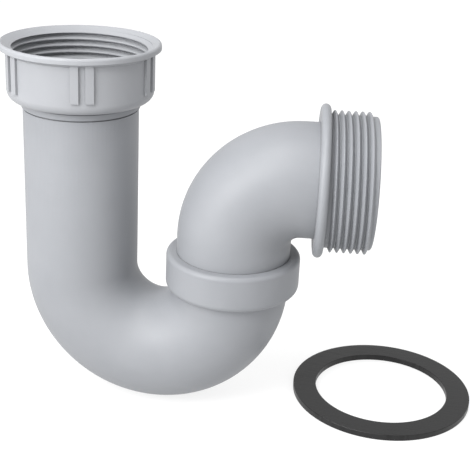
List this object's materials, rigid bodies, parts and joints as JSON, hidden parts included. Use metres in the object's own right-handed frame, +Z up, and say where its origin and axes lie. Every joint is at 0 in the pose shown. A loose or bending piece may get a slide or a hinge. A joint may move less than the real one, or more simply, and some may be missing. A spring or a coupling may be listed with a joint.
{
  "type": "u-bend sink trap",
  "caption": "Tubular sink trap: union nut on the inlet leg, half-round bend with a socket collar, swivelling outlet elbow with a threaded end, and a loose flat washer.",
  "frame": {"origin": "on the inlet axis at the sealing face, the top of the inlet leg's flange inside the union nut", "axes": "+Z up along the inlet leg, +X from the inlet leg towards the collar and the outlet, +Y to the back"},
  "size_m": [0.1694, 0.0811, 0.1272],
  "materials": {
    "grey_plastic": "moulded polypropylene with a satin surface",
    "black_rubber": "smooth matte rubber"
  },
  "bodies": {
    "trap": {"trap_bend": "grey_plastic", "collar_seal": "black_rubber", "flat_washer": "black_rubber"},
    "nut": {"union_nut": "grey_plastic"},
    "elbow": {"outlet_elbow": "grey_plastic"}
  },
  "joints": [
    {"name": "nut_spin", "type": "hinge", "parent": "trap", "child": "nut", "pos_m": [0, 0, 0], "axis": [0, 0, 1], "continuous": true},
    {"name": "elbow_swivel", "type": "hinge", "parent": "trap", "child": "elbow", "pos_m": [0.0554, 0, 0], "axis": [0, 0, 1], "range_deg": [-130, 110]}
  ]
}
